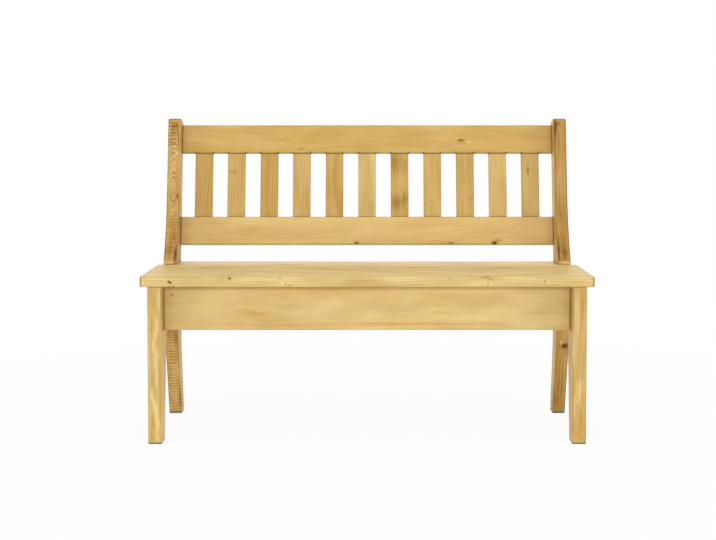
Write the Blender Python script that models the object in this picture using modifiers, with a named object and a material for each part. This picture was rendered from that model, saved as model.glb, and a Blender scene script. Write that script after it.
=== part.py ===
"""Pine dining bench: two shaped side frames, tenoned rails, a slatted back and a notched plank seat."""
import math

import bmesh
import bpy
from mathutils import Matrix, Vector

# Seat, in metres
SEAT_LENGTH = 1.200
SEAT_HEIGHT = 0.450
SEAT_THICK = 0.028
SEAT_BOARDS = 3
SEAT_END_OVERHANG = 0.017
SEAT_FRONT_OVERHANG = 0.017
SEAT_REAR_INSET = 0.002

# Side frames: front leg and rear post are cut from boards of one thickness
SIDE_THICK = 0.037
LEG_TOP_DEPTH = 0.105
LEG_FOOT_DEPTH = 0.060
POST_SETBACK = 0.314
POST_WAIST_DEPTH = 0.106
POST_TOP_DEPTH = 0.063
POST_FOOT_DEPTH = 0.052
POST_FOOT_RAKE = 0.103
POST_KNEE_HEIGHT = 0.205
POST_HEIGHT = 0.868
BACK_LEAN = math.radians(11.0)
SWEEP_RADIUS = 0.550
POST_SHOULDER = 0.011
KNEE_RADIUS = 0.300
HIP_RADIUS = 0.060
POST_NOSE_RADIUS = 0.014
POST_HEEL_RADIUS = 0.010
FOOT_RADIUS = 0.004

# Seat rails
APRON_HEIGHT = 0.123
APRON_THICK = 0.025
APRON_SETBACK = 0.050
REAR_APRON_HEIGHT = 0.095
REAR_APRON_THICK = 0.025
REAR_APRON_INSET = 0.020
SIDE_RAIL_HEIGHT = 0.123
SIDE_RAIL_THICK = 0.027

# Back, measured up the lean from the seat
RAIL_THICK = 0.020
RAIL_INSET = 0.002
LOWER_RAIL_GAP = 0.051
LOWER_RAIL_HEIGHT = 0.0825
SLAT_CLEAR = 0.1895
CREST_HEIGHT = 0.0835
SLAT_COUNT = 11
SLAT_WIDTH = 0.052
SLAT_THICK = 0.014
SLAT_END_GAP = 0.0395
SLAT_HOUSING = 0.012
SLAT_PLAY = 0.001

# Joints
GAP = 0.0003
MORTISE_FLOOR = 0.012
MORTISE_WALL = 0.008
TENON_SHOULDER = 0.012
RAIL_TENON_THICK = 0.010
APRON_TENON_THICK = 0.012

# Blocks, cleats and battens under the seat
BLOCK_LEG = 0.055
BLOCK_HEIGHT = 0.060
CLEAT_SIZE = 0.022
CLEAT_END_GAP = 0.012
BATTEN_WIDTH = 0.045
BATTEN_THICK = 0.020
BATTEN_END_GAP = 0.010
BATTEN_FROM_CENTRE = 0.270

# Wood screws
SCREW_RADIUS = 0.002
SCREW_HEAD_RADIUS = 0.004
SCREW_HEAD_DEPTH = 0.0025
SCREW_TIP = 0.004
SCREW_BITE = 0.014
SCREW_SIDES = 8
BLOCK_SCREW_INSET = 0.015
CLEAT_SCREW_END = 0.030
CLEAT_SCREW_STEP = 0.030

# Edges
ARRIS = 0.003
SLAT_ARRIS = 0.002
SEAT_ARRIS = 0.004
HIDDEN_ARRIS = 0.0015
ARRIS_STEPS = 2
ARC_SAGITTA = 0.00015

# Heights and depths worked out from the sizes above; Y starts at the front legs' front faces
FRAME_TOP = SEAT_HEIGHT - SEAT_THICK - GAP
SEAT_BOTTOM = SEAT_HEIGHT - SEAT_THICK
RAIL_BOTTOM = FRAME_TOP - SIDE_RAIL_HEIGHT
OUTER_X = SEAT_LENGTH / 2 - SEAT_END_OVERHANG
INNER_X = OUTER_X - SIDE_THICK
SIDE_X = OUTER_X - SIDE_THICK / 2
POST_FRONT = POST_SETBACK
POST_REAR = POST_SETBACK + POST_WAIST_DEPTH
TENON_LENGTH = SIDE_THICK - MORTISE_FLOOR
APRON_MIDDLE = APRON_SETBACK + APRON_THICK / 2
APRON_BACK = APRON_SETBACK + APRON_THICK
REAR_APRON_BACK = POST_REAR - REAR_APRON_INSET
REAR_APRON_FRONT = REAR_APRON_BACK - REAR_APRON_THICK
SIDE_TENON = LEG_TOP_DEPTH - APRON_MIDDLE - APRON_TENON_THICK / 2 - MORTISE_WALL
SEAT_FRONT = -SEAT_FRONT_OVERHANG
SEAT_REAR = POST_REAR - SEAT_REAR_INSET

# Places up the lean, from the line where the rails' front plane meets the seat's level
LOWER_FROM = LOWER_RAIL_GAP
LOWER_TO = LOWER_FROM + LOWER_RAIL_HEIGHT
CREST_FROM = LOWER_TO + SLAT_CLEAR
CREST_TO = CREST_FROM + CREST_HEIGHT
BACK_PLANE_Y = POST_REAR - (RAIL_THICK + RAIL_INSET) / math.cos(BACK_LEAN)
SLAT_FROM = LOWER_TO - SLAT_HOUSING + GAP
SLAT_TO = CREST_FROM + SLAT_HOUSING - GAP
SLAT_PITCH = (2 * INNER_X - 2 * SLAT_END_GAP - SLAT_WIDTH) / (SLAT_COUNT - 1)

# Points closer than this are one point
MERGE = 0.00001


# Scene, collections and materials

for old in list(bpy.data.objects):
    bpy.data.objects.remove(old, do_unlink=True)

bench = bpy.data.collections.new("dining_bench")
cutters = bpy.data.collections.new("bench_cutters")
bpy.context.scene.collection.children.link(bench)
bpy.context.scene.collection.children.link(cutters)


def finish(name, colour, roughness, metallic=0.0):
    """A plain finish, named for its slot."""
    material = bpy.data.materials.new(name)
    material.use_nodes = True
    shader = material.node_tree.nodes["Principled BSDF"]
    shader.inputs["Base Color"].default_value = (*colour, 1.0)
    shader.inputs["Roughness"].default_value = roughness
    shader.inputs["Metallic"].default_value = metallic
    return material


PINE_POST = finish("pine_post", (0.47, 0.28, 0.09), 0.50)
PINE_LEG = finish("pine_leg", (0.66, 0.44, 0.18), 0.45)
PINE_RAIL = finish("pine_rail", (0.66, 0.44, 0.17), 0.45)
PINE_SLAT = finish("pine_slat", (0.62, 0.40, 0.14), 0.45)
PINE_SEAT = finish("pine_seat", (0.72, 0.50, 0.21), 0.42)
PINE_APRON = finish("pine_apron", (0.68, 0.47, 0.18), 0.45)
PINE_FRAME = finish("pine_frame", (0.66, 0.47, 0.24), 0.60)
SCREW_STEEL = finish("screw_steel", (0.55, 0.55, 0.56), 0.35, 1.0)


def empty(name, location, rotation, parent):
    """An empty that carries other objects."""
    carrier = bpy.data.objects.new(name, None)
    carrier.location = location
    carrier.rotation_euler = rotation
    carrier.parent = parent
    bench.objects.link(carrier)
    return carrier


def add(name, mesh, material, parent):
    """A sub-part of the bench."""
    part = bpy.data.objects.new(name, mesh)
    if not mesh.materials:
        mesh.materials.append(material)
    part.parent = parent
    bench.objects.link(part)
    return part


def helper(name, mesh, parent):
    """A cutter or a joining bar, which is not a part itself."""
    tool = bpy.data.objects.new(name, mesh)
    tool.parent = parent
    tool.hide_render = True
    tool.display_type = "WIRE"
    cutters.objects.link(tool)
    return tool


def boolean(part, tool, operation):
    """Cut a part with a tool, or join the tool to it."""
    modifier = part.modifiers.new(tool.name, "BOOLEAN")
    modifier.operation = operation
    modifier.solver = "EXACT"
    modifier.object = tool


# Boxes

def add_box(bm, low, high):
    """One box between two corners, added to a mesh that is being built."""
    low = Vector(low)
    high = Vector(high)
    size = high - low
    place = Matrix.Translation((low + high) / 2) @ Matrix.Diagonal((*size, 1.0))
    bmesh.ops.create_cube(bm, size=1.0, matrix=place)


def to_mesh(bm, name):
    """The finished mesh, with its faces turned outwards."""
    bmesh.ops.recalc_face_normals(bm, faces=bm.faces)
    mesh = bpy.data.meshes.new(name)
    bm.to_mesh(mesh)
    bm.free()
    return mesh


def boxes(name, corners):
    """A mesh of separate boxes, for cutters."""
    bm = bmesh.new()
    for low, high in corners:
        add_box(bm, low, high)
    return to_mesh(bm, name)


def edge_axis(edge):
    """The axis that a box's edge runs along."""
    run = edge.verts[1].co - edge.verts[0].co
    return max("XYZ", key=lambda axis: abs(getattr(run, axis.lower())))


def rounded_box(name, low, high, rounded, radius, steps=ARRIS_STEPS):
    """A box whose edges are rounded where rounded(axis, middle) says so."""
    bm = bmesh.new()
    add_box(bm, low, high)
    edges = [e for e in bm.edges if rounded(edge_axis(e), (e.verts[0].co + e.verts[1].co) / 2)]
    bmesh.ops.bevel(bm, geom=edges, offset=radius, segments=steps, profile=0.5, affect="EDGES")
    return to_mesh(bm, name)


def grown(low, high, by):
    """The corners of a box, moved out on every side."""
    margin = Vector((by, by, by))
    return Vector(low) - margin, Vector(high) + margin


# Outlines in the side view, from corners given as (y, z, radius)

def rounded_outline(corners):
    """Points of a closed outline whose corners are rounded to their own radius."""
    points = []
    for i, (y, z, radius) in enumerate(corners):
        corner = Vector((y, z))
        to_last = (Vector(corners[i - 1][:2]) - corner).normalized()
        to_next = (Vector(corners[(i + 1) % len(corners)][:2]) - corner).normalized()
        turn = math.pi - to_last.angle(to_next)
        if radius == 0.0:
            points.append(corner)
            continue
        reach = radius * math.tan(turn / 2)
        middle = corner + (to_last + to_next).normalized() * radius / math.cos(turn / 2)
        start = corner + to_last * reach - middle
        side = 1.0 if to_last.cross(to_next) < 0 else -1.0
        points += arc(middle, start, side * turn)
    return points


def arc(middle, start, turn):
    """Points from middle + start, through an angle, close enough for a smooth edge."""
    radius = start.length
    step = 2 * math.acos(1 - ARC_SAGITTA / radius)
    count = max(2, math.ceil(abs(turn) / step))
    return [middle + Matrix.Rotation(turn * i / count, 2) @ start for i in range(count + 1)]


# Directions of the leaning back in the side view, and where its two edges meet the seat's level
LEAN_UP = Vector((math.sin(BACK_LEAN), math.cos(BACK_LEAN)))
LEAN_BACK = Vector((math.cos(BACK_LEAN), -math.sin(BACK_LEAN)))
UPRIGHT_REAR = Vector((POST_REAR, SEAT_HEIGHT))
UPRIGHT_FRONT = UPRIGHT_REAR - LEAN_BACK * POST_TOP_DEPTH

# The upright's top end is square to the lean, at the height that its rounded nose reaches
NOSE_LINE = UPRIGHT_FRONT + LEAN_BACK * POST_NOSE_RADIUS
NOSE_RISE = (POST_HEIGHT - POST_NOSE_RADIUS - NOSE_LINE.y) / LEAN_UP.y + POST_NOSE_RADIUS
POST_NOSE = UPRIGHT_FRONT + LEAN_UP * NOSE_RISE
POST_HEEL = UPRIGHT_REAR + LEAN_UP * NOSE_RISE
BENCH_REAR = (POST_HEEL - (LEAN_UP + LEAN_BACK) * POST_HEEL_RADIUS).x + POST_HEEL_RADIUS


def sweep():
    """The concave front edge: an arc from the upright's front line to a short shoulder above the seat."""
    seat_corner = Vector((POST_FRONT, SEAT_HEIGHT + POST_SHOULDER))
    forward = (UPRIGHT_FRONT - seat_corner).dot(LEAN_BACK)
    reach = math.sqrt(2 * SWEEP_RADIUS * forward - forward * forward)
    start = UPRIGHT_FRONT + LEAN_UP * ((seat_corner - UPRIGHT_FRONT).dot(LEAN_UP) + reach)
    middle = start - LEAN_BACK * SWEEP_RADIUS
    return arc(middle, start - middle, -math.asin(reach / SWEEP_RADIUS))


def post_outline():
    """Rear post, from the foot up the rear edge, over the top and down the swept front."""
    foot = POST_FRONT + POST_FOOT_RAKE
    corners = [
        (foot, 0.0, FOOT_RADIUS),
        (foot + POST_FOOT_DEPTH, 0.0, FOOT_RADIUS),
        (POST_REAR, POST_KNEE_HEIGHT, KNEE_RADIUS),
        (POST_REAR, SEAT_HEIGHT, KNEE_RADIUS),
        (*POST_HEEL, POST_HEEL_RADIUS),
        (*POST_NOSE, POST_NOSE_RADIUS),
    ]
    corners += [(*point, 0.0) for point in sweep()]
    corners.append((POST_FRONT, RAIL_BOTTOM, HIP_RADIUS))
    return rounded_outline(corners)


def leg_outline():
    """Front leg, upright in front and tapered behind below the side rail."""
    return rounded_outline([
        (0.0, 0.0, FOOT_RADIUS),
        (LEG_FOOT_DEPTH, 0.0, FOOT_RADIUS),
        (LEG_TOP_DEPTH, RAIL_BOTTOM, HIP_RADIUS),
        (LEG_TOP_DEPTH, FRAME_TOP, 0.0),
        (0.0, FRAME_TOP, 0.0),
    ])


def side_board(name, outline, square_above):
    """A board cut to a side-view outline, its arrises rounded up to a height."""
    curve = bpy.data.curves.new(name, "CURVE")
    curve.dimensions = "2D"
    curve.fill_mode = "BOTH"
    curve.extrude = SIDE_THICK / 2
    spline = curve.splines.new("POLY")
    spline.points.add(len(outline) - 1)
    spline.use_cyclic_u = True
    for point, place in zip(spline.points, outline):
        point.co = (place.x, place.y, 0.0, 1.0)
    drawn = bpy.data.objects.new(name + "_outline", curve)
    bench.objects.link(drawn)
    drawn.rotation_euler = (math.pi / 2, 0.0, math.pi / 2)
    bpy.context.view_layer.update()
    solid = drawn.evaluated_get(bpy.context.evaluated_depsgraph_get())
    bm = bmesh.new()
    mesh = bpy.data.meshes.new_from_object(solid)
    bm.from_mesh(mesh)
    bm.transform(drawn.matrix_world)
    bpy.data.objects.remove(drawn, do_unlink=True)
    bpy.data.meshes.remove(mesh)
    bmesh.ops.remove_doubles(bm, verts=bm.verts, dist=MERGE)
    bmesh.ops.recalc_face_normals(bm, faces=bm.faces)
    rims = []
    for edge in bm.edges:
        flat = [abs(face.normal.x) > face.normal.yz.length for face in edge.link_faces]
        low = min(vert.co.z for vert in edge.verts)
        if len(set(flat)) == 2 and low < square_above:
            rims.append(edge)
    bmesh.ops.bevel(bm, geom=rims, offset=ARRIS, segments=ARRIS_STEPS, profile=0.5, affect="EDGES")
    return to_mesh(bm, name)


# Carriers: the floor point under the middle of the bench, and the leaning plane of the back

BENCH_MIDDLE = (SEAT_FRONT + BENCH_REAR) / 2
root = empty("bench_origin", (0.0, -BENCH_MIDDLE, 0.0), (0.0, 0.0, 0.0), None)
back = empty("back_plane", (0.0, BACK_PLANE_Y, SEAT_HEIGHT), (-BACK_LEAN, 0.0, 0.0), root)


# Side frames

def make_pair(name, mesh, material):
    """Left and right copies of a side board."""
    pair = []
    for side, x in (("left", -SIDE_X), ("right", SIDE_X)):
        board = add(name + "_" + side, mesh, material, root)
        board.location.x = x
        pair.append(board)
    return pair


posts = make_pair("rear_post", side_board("rear_post", post_outline(), POST_HEIGHT), PINE_POST)
legs = make_pair("front_leg", side_board("front_leg", leg_outline(), FRAME_TOP - GAP), PINE_LEG)


# Rails, each with one bar through it whose ends are its tenons

def tenoned_rail(name, low, high, bar, long_axis, radius, material, mates, parent):
    """A rail with square shoulders and a tenon at each end, and the mortises for it in its mates."""
    mesh = rounded_box(name, low, high, lambda axis, middle: axis == long_axis, radius)
    rail = add(name, mesh, material, parent)
    boolean(rail, helper(name + "_tenons", boxes(name + "_tenons", [bar]), parent), "UNION")
    mortises = helper(name + "_mortises", boxes(name + "_mortises", [grown(*bar, GAP)]), parent)
    for mate in mates:
        boolean(mate, mortises, "DIFFERENCE")
    return rail


def cross_rail(name, front, back_face, low, high, tenon_thick, radius, material, mates, parent):
    """A rail along X, tenoned between the two side frames."""
    reach = INNER_X + TENON_LENGTH
    middle = (front + back_face) / 2
    bar = (
        (-reach, middle - tenon_thick / 2, low + TENON_SHOULDER),
        (reach, middle + tenon_thick / 2, high - TENON_SHOULDER),
    )
    ends = INNER_X - GAP
    return tenoned_rail(name, (-ends, front, low), (ends, back_face, high), bar, "X", radius, material,
                        mates, parent)


crest_rail = cross_rail("crest_rail", 0.0, RAIL_THICK, CREST_FROM, CREST_TO, RAIL_TENON_THICK, ARRIS,
                        PINE_RAIL, posts, back)
lower_rail = cross_rail("lower_back_rail", 0.0, RAIL_THICK, LOWER_FROM, LOWER_TO, RAIL_TENON_THICK, ARRIS,
                        PINE_RAIL, posts, back)
front_apron = cross_rail("front_apron", APRON_SETBACK, APRON_BACK, FRAME_TOP - APRON_HEIGHT, FRAME_TOP,
                         APRON_TENON_THICK, ARRIS, PINE_APRON, legs, root)
rear_apron = cross_rail("rear_apron", REAR_APRON_FRONT, REAR_APRON_BACK, FRAME_TOP - REAR_APRON_HEIGHT,
                        FRAME_TOP, APRON_TENON_THICK, ARRIS, PINE_FRAME, posts, root)


def side_rail(name, side, mates):
    """A rail along Y from the front leg to the rear post, flush with their inner faces."""
    low_x, high_x = sorted((side * INNER_X, side * (INNER_X + SIDE_RAIL_THICK)))
    middle = (low_x + high_x) / 2
    bar = (
        (middle - APRON_TENON_THICK / 2, LEG_TOP_DEPTH - SIDE_TENON, RAIL_BOTTOM + TENON_SHOULDER),
        (middle + APRON_TENON_THICK / 2, POST_FRONT + SIDE_TENON, FRAME_TOP - TENON_SHOULDER),
    )
    low = (low_x, LEG_TOP_DEPTH + GAP, RAIL_BOTTOM)
    high = (high_x, POST_FRONT - GAP, FRAME_TOP)
    return tenoned_rail(name, low, high, bar, "Y", ARRIS, PINE_FRAME, mates, root)


side_rails = [
    side_rail("side_rail_left", -1, (legs[0], posts[0])),
    side_rail("side_rail_right", 1, (legs[1], posts[1])),
]


# Back slats, housed in the two back rails

slat_low = Vector((-SLAT_WIDTH / 2, (RAIL_THICK - SLAT_THICK) / 2, SLAT_FROM))
slat_high = Vector((SLAT_WIDTH / 2, (RAIL_THICK + SLAT_THICK) / 2, SLAT_TO))
slat_mesh = rounded_box("back_slat", slat_low, slat_high, lambda axis, middle: axis == "Z", SLAT_ARRIS)
housing_low, housing_high = grown(slat_low, slat_high, GAP)
housings = []
for index in range(SLAT_COUNT):
    place = Vector(((index - (SLAT_COUNT - 1) / 2) * SLAT_PITCH, 0.0, 0.0))
    slat = add(f"back_slat_{index + 1:02d}", slat_mesh, PINE_SLAT, back)
    slat.location = place
    play = Vector((SLAT_PLAY, 0.0, 0.0))
    housings.append((housing_low + place - play, housing_high + place + play))
slat_housings = helper("slat_housings", boxes("slat_housings", housings), back)
boolean(crest_rail, slat_housings, "DIFFERENCE")
boolean(lower_rail, slat_housings, "DIFFERENCE")


# Seat boards, the rear corners notched round the posts

BOARD_WIDTH = (SEAT_REAR - SEAT_FRONT - (SEAT_BOARDS - 1) * GAP) / SEAT_BOARDS
NOTCH_REACH = SEAT_LENGTH
notches = helper("seat_notches", boxes("seat_notches", [
    ((INNER_X - GAP, POST_FRONT - GAP, 0.0), (NOTCH_REACH, NOTCH_REACH, NOTCH_REACH)),
    ((-NOTCH_REACH, POST_FRONT - GAP, 0.0), (GAP - INNER_X, NOTCH_REACH, NOTCH_REACH)),
]), root)


def seat_board(name, front, rear):
    """One board of the seat, rounded on every edge that is not in a glue joint."""
    joints = [y for y in (front, rear) if SEAT_FRONT + GAP < y < SEAT_REAR - GAP]

    def outside(axis, middle):
        return axis == "Y" or all(abs(middle.y - y) > GAP for y in joints)

    low = (-SEAT_LENGTH / 2, front, SEAT_BOTTOM)
    high = (SEAT_LENGTH / 2, rear, SEAT_HEIGHT)
    board = add(name, rounded_box(name, low, high, outside, SEAT_ARRIS), PINE_SEAT, root)
    if rear > POST_FRONT - GAP:
        boolean(board, notches, "DIFFERENCE")
    return board


seat_boards = []
board_spans = []
for index in range(SEAT_BOARDS):
    front = SEAT_FRONT + index * (BOARD_WIDTH + GAP)
    board_spans.append((front, front + BOARD_WIDTH))
    seat_boards.append(seat_board(f"seat_board_{index + 1}", front, front + BOARD_WIDTH))


# Wood screws: a turned profile, copied to each place, and the holes that they need

def turned(name, profile):
    """A closed shape turned about Z from a profile given as (radius, height), top to bottom."""
    mesh = bpy.data.meshes.new(name)
    mesh.from_pydata([(r, 0.0, z) for r, z in profile], [(i, i + 1) for i in range(len(profile) - 1)], [])
    shape = bpy.data.objects.new(name, mesh)
    bench.objects.link(shape)
    screw = shape.modifiers.new("turn", "SCREW")
    screw.steps = SCREW_SIDES
    screw.render_steps = SCREW_SIDES
    screw.use_merge_vertices = True
    screw.merge_threshold = MERGE
    bpy.context.view_layer.update()
    solid = shape.evaluated_get(bpy.context.evaluated_depsgraph_get())
    result = bpy.data.meshes.new_from_object(solid)
    bpy.data.objects.remove(shape, do_unlink=True)
    bpy.data.meshes.remove(mesh)
    return result


def screw_profile(length):
    """Countersunk head, shank and point."""
    return [
        (0.0, 0.0),
        (SCREW_HEAD_RADIUS, 0.0),
        (SCREW_RADIUS, -SCREW_HEAD_DEPTH),
        (SCREW_RADIUS, SCREW_TIP - length),
        (0.0, -length),
    ]


def hole_profile(length, mouth):
    """The screw's profile with clearance, carried up past the surface that it is driven into."""
    return [
        (0.0, mouth),
        (SCREW_HEAD_RADIUS + GAP, mouth),
        (SCREW_HEAD_RADIUS + GAP, -GAP),
        (SCREW_RADIUS + GAP, -SCREW_HEAD_DEPTH - GAP),
        (SCREW_RADIUS + GAP, SCREW_TIP - length),
        (0.0, -length - GAP),
    ]


def drive_turn(drive):
    """Rotation that takes a screw drawn head up to the way it is driven."""
    return Vector((0.0, 0.0, -1.0)).rotation_difference(Vector(drive))


def scattered(name, shape, places):
    """One mesh with a copy of a shape at each place; a place is a point and the way the screw is driven."""
    bm = bmesh.new()
    for point, drive in places:
        first = len(bm.verts)
        bm.from_mesh(shape)
        bm.verts.ensure_lookup_table()
        place = Matrix.Translation(point) @ drive_turn(drive).to_matrix().to_4x4()
        bmesh.ops.transform(bm, matrix=place, verts=bm.verts[first:])
    mesh = bpy.data.meshes.new(name)
    bm.to_mesh(mesh)
    bm.free()
    return mesh


def drive_screws(name, length, mouth, places, mates):
    """A set of like screws, with their holes cut in what they hold together."""
    shape = turned(name, screw_profile(length))
    for number, (point, drive) in enumerate(places, 1):
        screw = add(f"{name}_{number:02d}", shape, SCREW_STEEL, root)
        screw.location = point
        screw.rotation_euler = drive_turn(drive).to_euler()
    hole = turned(name + "_hole", hole_profile(length, mouth))
    holes = helper(name + "_holes", scattered(name + "_holes", hole, places), root)
    for mate in mates:
        boolean(mate, holes, "DIFFERENCE")


# Corner blocks behind the aprons

def corner_block(name, side, face, inward):
    """A square block sawn across, against an apron's face and the side frame's inner face."""
    corner = Vector((side * (INNER_X - GAP), face + inward * GAP, FRAME_TOP))
    opposite = corner + Vector((-side * BLOCK_LEG, inward * BLOCK_LEG, -BLOCK_HEIGHT))
    bm = bmesh.new()
    add_box(bm, map(min, corner, opposite), map(max, corner, opposite))
    everything = bm.verts[:] + bm.edges[:] + bm.faces[:]
    middle = (corner + opposite) / 2
    sawn = bmesh.ops.bisect_plane(bm, geom=everything, plane_co=middle, plane_no=(-side, inward, 0.0),
                                  clear_outer=True)
    rim = [part for part in sawn["geom_cut"] if isinstance(part, bmesh.types.BMEdge)]
    bmesh.ops.edgeloop_fill(bm, edges=rim)
    return add(name, to_mesh(bm, name), PINE_FRAME, root)


block_places = []
corner_blocks = []
block_screw_z = FRAME_TOP - BLOCK_HEIGHT / 2
for end, face, inward in (("front", APRON_BACK, 1), ("rear", REAR_APRON_FRONT, -1)):
    for side_name, side in (("left", -1), ("right", 1)):
        corner_blocks.append(corner_block(f"corner_block_{end}_{side_name}", side, face, inward))
        seat_depth = BLOCK_SCREW_INSET - SCREW_HEAD_RADIUS
        near = side * (INNER_X - BLOCK_LEG + BLOCK_SCREW_INSET)
        block_places.append(((near, face + inward * seat_depth, block_screw_z), (0.0, -inward, 0.0)))
        away = face + inward * (BLOCK_LEG - BLOCK_SCREW_INSET)
        block_places.append(((side * (INNER_X - seat_depth), away, block_screw_z), (side, 0.0, 0.0)))
drive_screws("corner_block_screw", BLOCK_SCREW_INSET - SCREW_HEAD_RADIUS + SCREW_BITE, BLOCK_SCREW_INSET,
             block_places, corner_blocks + [front_apron, rear_apron] + side_rails + posts)


# Seat cleats along the side rails

def any_edge(axis, middle):
    return True


cleat_front = APRON_BACK + BLOCK_LEG + CLEAT_END_GAP
cleat_rear = REAR_APRON_FRONT - BLOCK_LEG - CLEAT_END_GAP
cleats = []
cleat_places = []
for side_name, side in (("left", -1), ("right", 1)):
    inner_face = side * (INNER_X - GAP - CLEAT_SIZE)
    low_x, high_x = sorted((side * (INNER_X - GAP), inner_face))
    low = (low_x, cleat_front, FRAME_TOP - CLEAT_SIZE)
    high = (high_x, cleat_rear, FRAME_TOP)
    mesh = rounded_box("seat_cleat_" + side_name, low, high, any_edge, HIDDEN_ARRIS, 1)
    cleats.append(add("seat_cleat_" + side_name, mesh, PINE_FRAME, root))
    middle_x = (low_x + high_x) / 2
    for end, inward in ((cleat_front, 1), (cleat_rear, -1)):
        up_y = end + inward * CLEAT_SCREW_END
        cleat_places.append(((middle_x, up_y, FRAME_TOP - CLEAT_SIZE), (0.0, 0.0, 1.0)))
        across_y = up_y + inward * CLEAT_SCREW_STEP
        cleat_places.append(((inner_face, across_y, FRAME_TOP - CLEAT_SIZE / 2), (side, 0.0, 0.0)))
drive_screws("seat_cleat_screw", CLEAT_SIZE + SCREW_BITE, SCREW_HEAD_DEPTH, cleat_places,
             cleats + side_rails + seat_boards)


# Cross battens under the seat

batten_front = APRON_BACK + BATTEN_END_GAP
batten_rear = REAR_APRON_FRONT - BATTEN_END_GAP
batten_low = FRAME_TOP - BATTEN_THICK
battens = []
batten_places = []
for side_name, side in (("left", -1), ("right", 1)):
    middle_x = side * BATTEN_FROM_CENTRE
    low = (middle_x - BATTEN_WIDTH / 2, batten_front, batten_low)
    high = (middle_x + BATTEN_WIDTH / 2, batten_rear, FRAME_TOP)
    mesh = rounded_box("seat_batten_" + side_name, low, high, any_edge, HIDDEN_ARRIS, 1)
    battens.append(add("seat_batten_" + side_name, mesh, PINE_FRAME, root))
    for front, rear in board_spans:
        held = (max(front, batten_front) + min(rear, batten_rear)) / 2
        batten_places.append(((middle_x, held, batten_low), (0.0, 0.0, 1.0)))
drive_screws("seat_batten_screw", BATTEN_THICK + SCREW_BITE, SCREW_HEAD_DEPTH, batten_places,
             battens + seat_boards)
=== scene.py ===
# %% [markdown]
# # A waxed pine bench
# The bench is already built as solids: posts, legs, rails, slats and seat boards, each in its real place.
# This lesson gives those solids the look of the real wood. It loads them as a fixed frame, copies each
# board to soften its edges, grows pine through the copies with shader maths, and sets up a plain studio.
# Working on copies leaves the frame alone, so the sizes stay true.

import math
from collections import namedtuple
from types import SimpleNamespace

import bmesh
import bpy
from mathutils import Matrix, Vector


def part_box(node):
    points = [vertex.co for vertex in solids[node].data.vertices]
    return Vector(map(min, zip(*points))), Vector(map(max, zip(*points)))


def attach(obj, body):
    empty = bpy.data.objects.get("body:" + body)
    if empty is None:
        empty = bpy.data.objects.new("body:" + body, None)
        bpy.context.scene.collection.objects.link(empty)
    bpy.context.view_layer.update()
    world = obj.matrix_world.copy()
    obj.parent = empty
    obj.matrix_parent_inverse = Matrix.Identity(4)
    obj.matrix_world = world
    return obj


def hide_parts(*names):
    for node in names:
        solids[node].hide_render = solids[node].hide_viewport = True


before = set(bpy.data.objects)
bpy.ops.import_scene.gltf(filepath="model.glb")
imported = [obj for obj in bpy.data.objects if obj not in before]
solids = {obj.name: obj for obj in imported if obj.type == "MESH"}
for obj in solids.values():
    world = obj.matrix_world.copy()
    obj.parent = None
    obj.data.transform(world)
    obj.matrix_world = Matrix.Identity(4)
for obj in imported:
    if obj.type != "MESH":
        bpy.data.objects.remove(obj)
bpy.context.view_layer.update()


def rounded(values):
    """Numbers short enough to print."""
    return [round(value, 4) for value in values]


# %% [markdown]
# A photograph with straight lines in it tells how its camera stood. Once a distance is chosen, the seat's
# edges and the feet on the floor fix the height and the tilt, and the seat's length in pixels gives the
# lens. The distance here is the one that gives the seat a usual depth. A picture that was cropped later has
# its lens axis off the middle of the frame, and Blender's lens shift makes up for that.

# %% Set up the camera
PHOTO_WIDTH = 716
PHOTO_HEIGHT = 540
SENSOR_WIDTH = 36.0
FOCAL_PIXELS = 1442.3
AXIS_COLUMN = 367.1
AXIS_ROW = 202.2
VIEW_DISTANCE = 3.800
VIEW_HEIGHT = 0.8446
VIEW_TILT = math.radians(3.0)


def put(name, data):
    """A new object in the scene."""
    made = bpy.data.objects.new(name, data)
    bpy.context.scene.collection.objects.link(made)
    return made


leg_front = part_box("front_leg_left")[0].y
camera = put("camera", bpy.data.cameras.new("camera"))
bpy.context.scene.camera = camera
camera.location = (0.0, leg_front - VIEW_DISTANCE, VIEW_HEIGHT)
camera.rotation_euler = (math.pi / 2 - VIEW_TILT, 0.0, 0.0)
camera.data.sensor_fit = "HORIZONTAL"
camera.data.sensor_width = SENSOR_WIDTH
camera.data.lens = FOCAL_PIXELS / PHOTO_WIDTH * SENSOR_WIDTH
camera.data.shift_x = (PHOTO_WIDTH / 2 - AXIS_COLUMN) / PHOTO_WIDTH
camera.data.shift_y = (AXIS_ROW - PHOTO_HEIGHT / 2) / PHOTO_WIDTH
print("camera lens", round(camera.data.lens, 1), "mm, shift", round(camera.data.shift_y, 3))

# %% [markdown]
# Nodes are easier to read as sums than as a drawing. This class wraps one socket of a node tree. Adding or
# multiplying two of them puts a Math node in the tree, and the method called node makes any other node from
# its type, its settings and its sockets. The reflected operators let a plain number stand on the left.

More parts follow.
